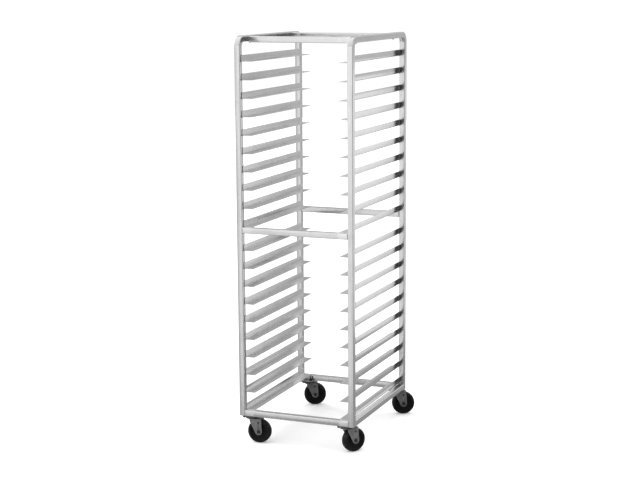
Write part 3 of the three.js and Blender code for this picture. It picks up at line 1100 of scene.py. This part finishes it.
def wheel_profile():
    """Half section of the moulded wheel as (radius, distance from its middle, wear)."""
    r = WHEEL_RADIUS
    half = 15.5
    side = [
        (8.6, 17.4, 0), (13.4, 17.4, 0), (14.6, 16.9, 0), (15.2, 15.6, 0), (16.0, 11.5, 0),
        (17.4, 10.2, 0), (20.0, 9.8, 0), (29.0, 9.8, 0), (34.0, 10.2, 0), (35.6, 11.6, 0),
        (36.2, 13.6, 0), (37.0, 14.6, 0.1), (38.4, 15.2, 0.2), (41.0, half, 0.3),
        (44.0, half, 0.4), (45.6, 15.3, 0.7), (47.2, 14.6, 0.9), (48.6, 13.3, 1.0),
        (49.8, 11.4, 1.0), (50.5, 9.2, 1.0), (r, 6.5, 1.0), (r, 0.6, 1.0), (r, 0.0, 1.0),
    ]
    other = [(rr, -y, w) for rr, y, w in side[-2::-1]]
    return side + other


WHEEL_STEPS = 96


def caster_wheel(corner, place):
    """Moulded wheel, the bush pressed into it, and the washers that part it from the cheeks."""
    shell = Shell(120 + CORNERS.index(corner))
    profile = wheel_profile()
    bore = [(8.6, -17.4), (8.6, 17.4)]
    closed = [(r, y) for r, y, _ in profile] + bore
    wear = [w for _, _, w in profile] + [0, 0]
    spot = (LEAD, 0, AXLE_HEIGHT)
    lathe(shell, closed, WHEEL_STEPS, axis="y", centre=spot)
    shell.edge[-1] = np.tile(np.array(wear, float), WHEEL_STEPS)
    shell.place(place)
    shell.build(
        f"moulded_wheel_{corner}", RUBBER, f"wheel_{corner}", "wheel_rubber",
        (f"caster_wheel_{corner}",), weld=0.001, sharp=40,
    )
    bush = Shell(130 + CORNERS.index(corner))
    lathe(bush, [
        (5.15, -17.5), (8.2, -17.5), (8.6, -17.1), (8.6, 17.1), (8.2, 17.5), (5.15, 17.5),
        (5.15, -17.5),
    ], 48, axis="y", centre=spot)
    bush.place(place)
    bush.build(f"wheel_bush_{corner}", BRIGHT_STEEL, f"wheel_{corner}", "caster_steel", weld=0.001)
    washers = Shell(140 + CORNERS.index(corner))
    for sign in (-1, 1):
        lathe(washers, [
            (5.2, sign * 17.65), (9.6, sign * 17.65), (9.8, sign * 17.8), (9.8, sign * 18.0),
            (9.6, sign * 18.15), (5.2, sign * 18.15), (5.2, sign * 17.65),
        ], 40, axis="y", centre=spot)
    washers.place(place)
    washers.build(
        f"axle_washers_{corner}", BRIGHT_STEEL, f"fork_{corner}", "caster_steel", weld=0.001
    )


for corner in CORNERS:
    spot, place = caster_place(corner)
    caster_plate(corner, spot)
    plate_bolts(corner, spot)
    caster_fork(corner, place)
    swivel_race(corner, place)
    axle_bolt(corner, place)
    caster_wheel(corner, place)


# ---- Stage, light and camera ----------------------------------------------
# The surround's strength is a product of terms. A SIDE is a direction, its SPAN is a range
# of the cosine between that direction and the ray, and its LEVEL is the factor past the span.
# They were tuned by grey level against one photograph. RIGHT also keeps views
# from that side from going black.
BACKDROP_SIDE = (-0.95, 0.3, 0.0)
SURROUND_LEVELS = (0.1, 1.14)
LOW_SPAN = (-0.3, -0.03)
LOW_LEVEL = 0.6
RIGHT_SIDE = (1.0, -0.05, 0.0)
RIGHT_SPAN = (0.72, 0.95)
RIGHT_LEVEL = 6.5
ZENITH_SPAN = (0.05, 0.55)
ZENITH_LEVEL = 1.42
DUSK_SIDE = (-0.4, 0.9, 0.44)
DUSK_SPAN = (0.9, 0.99)
DUSK_LEVEL = 0.4
DIM_SIDE = (0.5, -0.866, 0.03)
DIM_SPAN = (0.8, 0.97)
DIM_LEVEL = 0.12
CAMERA_WHITE = 1.05

FLOOR_REACH = 14.0
FLOOR_GLOW = 0.22

# Fitted, with no lens shift, to how a camera with a shift, which had been fitted to the
# photograph, sees the frame. Metres and degrees.
CAMERA_PLACE = (2.3876, -5.962, 1.9406)
CAMERA_YAW, CAMERA_PITCH, CAMERA_ROLL = 22.2002, 9.7641, -0.3775
CAMERA_LENS, CAMERA_SENSOR = 84.814, 36.0
CAMERA_FAR = 60.0


def floor():
    mesh = bpy.data.meshes.new("floor")
    reach = FLOOR_REACH
    mesh.from_pydata(
        [(-reach, -reach, 0), (reach, -reach, 0), (reach, reach, 0), (-reach, reach, 0)],
        [], [(0, 1, 2, 3)],
    )
    plane = add_object("floor", mesh)
    t = Tree("pale_floor")
    place = t.node("TexCoord").outputs["Object"]
    t.set("Base Color", t.mix(t.noise(place, 3.0), grey(0.9), grey(0.94)))
    t.set("Roughness", 0.9)
    t.set("Specular IOR Level", 0.1)
    t.set("Emission Color", grey(1.0))
    t.set("Emission Strength", FLOOR_GLOW)
    mesh.materials.append(t.material)
    plane.visible_glossy = False


def world():
    """Uneven pale surround: dim towards the camera's side, and plain white to the camera."""
    scene_world = bpy.data.worlds.new("studio")
    bpy.context.scene.world = scene_world
    scene_world.use_nodes = True
    nodes, links = scene_world.node_tree.nodes, scene_world.node_tree.links
    coordinate = nodes.new("ShaderNodeTexCoord")

    def towards(direction, span, levels, smooth=False):
        dot = nodes.new("ShaderNodeVectorMath")
        dot.operation = "DOT_PRODUCT"
        dot.inputs[1].default_value = Vector(direction).normalized()
        links.new(coordinate.outputs["Generated"], dot.inputs[0])
        span_node = nodes.new("ShaderNodeMapRange")
        span_node.interpolation_type = "SMOOTHSTEP" if smooth else "LINEAR"
        for name, value in zip(("From Min", "From Max", "To Min", "To Max"), (*span, *levels)):
            span_node.inputs[name].default_value = value
        links.new(dot.outputs["Value"], span_node.inputs["Value"])
        return span_node.outputs["Result"]

    def times(a, b):
        product = nodes.new("ShaderNodeMath")
        product.operation = "MULTIPLY"
        links.new(a, product.inputs[0])
        links.new(b, product.inputs[1])
        return product.outputs["Value"]

    level = times(
        towards(BACKDROP_SIDE, (-1.0, 1.0), SURROUND_LEVELS),
        towards(DIM_SIDE, DIM_SPAN, (1.0, DIM_LEVEL), True),
    )
    level = times(level, towards((0, 0, 1), LOW_SPAN, (LOW_LEVEL, 1.0)))
    level = times(level, towards((0, 0, 1), ZENITH_SPAN, (1.0, ZENITH_LEVEL)))
    level = times(level, towards(DUSK_SIDE, DUSK_SPAN, (1.0, DUSK_LEVEL), True))
    level = times(level, towards(RIGHT_SIDE, RIGHT_SPAN, (1.0, RIGHT_LEVEL), True))
    background = nodes["Background"]
    background.inputs["Color"].default_value = grey(1.0)
    links.new(level, background.inputs["Strength"])
    white = nodes.new("ShaderNodeBackground")
    white.inputs["Color"].default_value = grey(1.0)
    white.inputs["Strength"].default_value = CAMERA_WHITE
    path = nodes.new("ShaderNodeLightPath")
    choose = nodes.new("ShaderNodeMixShader")
    links.new(path.outputs["Is Camera Ray"], choose.inputs[0])
    links.new(background.outputs[0], choose.inputs[1])
    links.new(white.outputs[0], choose.inputs[2])
    links.new(choose.outputs[0], nodes["World Output"].inputs["Surface"])


def soft_sun(name, towards, strength, spread):
    """A wide sun that metal doesn't mirror."""
    data = bpy.data.lights.new(name, "SUN")
    data.energy = strength
    data.angle = math.radians(spread)
    lamp = add_object(name, data)
    lamp.rotation_mode = "QUATERNION"
    lamp.rotation_quaternion = Vector(towards).to_track_quat("-Z", "Y")
    lamp.visible_glossy = False


def area_light(name, spot, target, size, power):
    data = bpy.data.lights.new(name, "AREA")
    data.shape = "RECTANGLE"
    data.size, data.size_y = size
    data.energy = power
    lamp = add_object(name, data)
    lamp.location = spot
    lamp.visible_camera = False
    lamp.rotation_mode = "QUATERNION"
    lamp.rotation_quaternion = (Vector(target) - Vector(spot)).to_track_quat("-Z", "Y")


def camera():
    data = bpy.data.cameras.new("camera")
    cam = add_object("camera", data)
    bpy.context.scene.camera = cam
    yaw, pitch, roll = (math.radians(a) for a in (CAMERA_YAW, CAMERA_PITCH, CAMERA_ROLL))
    ahead = Vector((
        -math.sin(yaw) * math.cos(pitch), math.cos(yaw) * math.cos(pitch), -math.sin(pitch),
    ))
    right = Vector((math.cos(yaw), math.sin(yaw), 0))
    up = right.cross(ahead)
    right, up = (
        right * math.cos(roll) + up * math.sin(roll),
        up * math.cos(roll) - right * math.sin(roll),
    )
    cam.matrix_world = Matrix((
        (right.x, up.x, -ahead.x, CAMERA_PLACE[0]),
        (right.y, up.y, -ahead.y, CAMERA_PLACE[1]),
        (right.z, up.z, -ahead.z, CAMERA_PLACE[2]),
        (0, 0, 0, 1),
    ))
    data.sensor_width = CAMERA_SENSOR
    data.lens = CAMERA_LENS
    data.clip_end = CAMERA_FAR


floor()
world()
soft_sun("overhead", towards=(0.05, 0.1, -1.0), strength=1.9, spread=100.0)
area_light(
    "front_panel", spot=(-0.82, -3.55, 0.9), target=(-0.1, 0, 0.9), size=(2.2, 3.4), power=12.5
)
area_light(
    "right_panel", spot=(1.35, 1.75, 0.72), target=(0.3, 0, 0.75), size=(1.1, 1.5), power=2.7
)
camera()
bpy.context.scene.view_settings.view_transform = "Standard"
